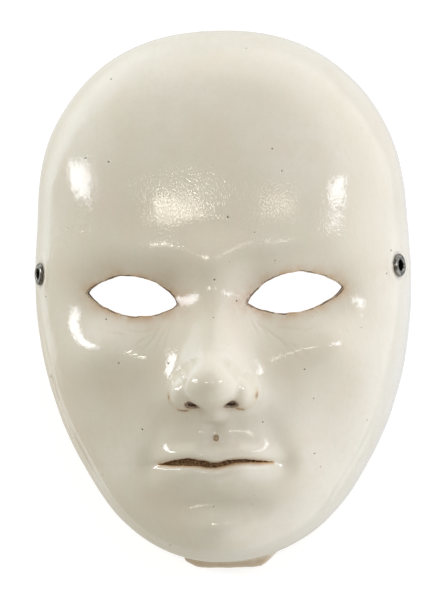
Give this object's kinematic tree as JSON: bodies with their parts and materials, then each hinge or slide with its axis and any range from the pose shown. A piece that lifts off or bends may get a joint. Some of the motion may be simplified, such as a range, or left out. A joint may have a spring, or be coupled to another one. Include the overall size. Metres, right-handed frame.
{
  "type": "volto mask",
  "caption": "Hollow full-face leather mask with cut-out eyes, a plain glossy off-white front and metal eyelets at the temples for its tie, lying face up on its rim.",
  "frame": {"origin": "middle of the mask's outline on the plane that its rim lies on", "axes": "+Z out of the face, +Y towards the crown, +X towards the wearer's left"},
  "size_m": [0.1606, 0.2298, 0.0878],
  "materials": {
    "painted_leather": "moulded leather, off-white paint under gloss varnish, bare brown leather inside and on the cut edges",
    "eyelet_metal": "nickel-plated, slightly tarnished"
  },
  "bodies": {
    "root": {"mask_shell": "painted_leather", "eyelet_left": "eyelet_metal", "eyelet_right": "eyelet_metal"}
  },
  "joints": []
}
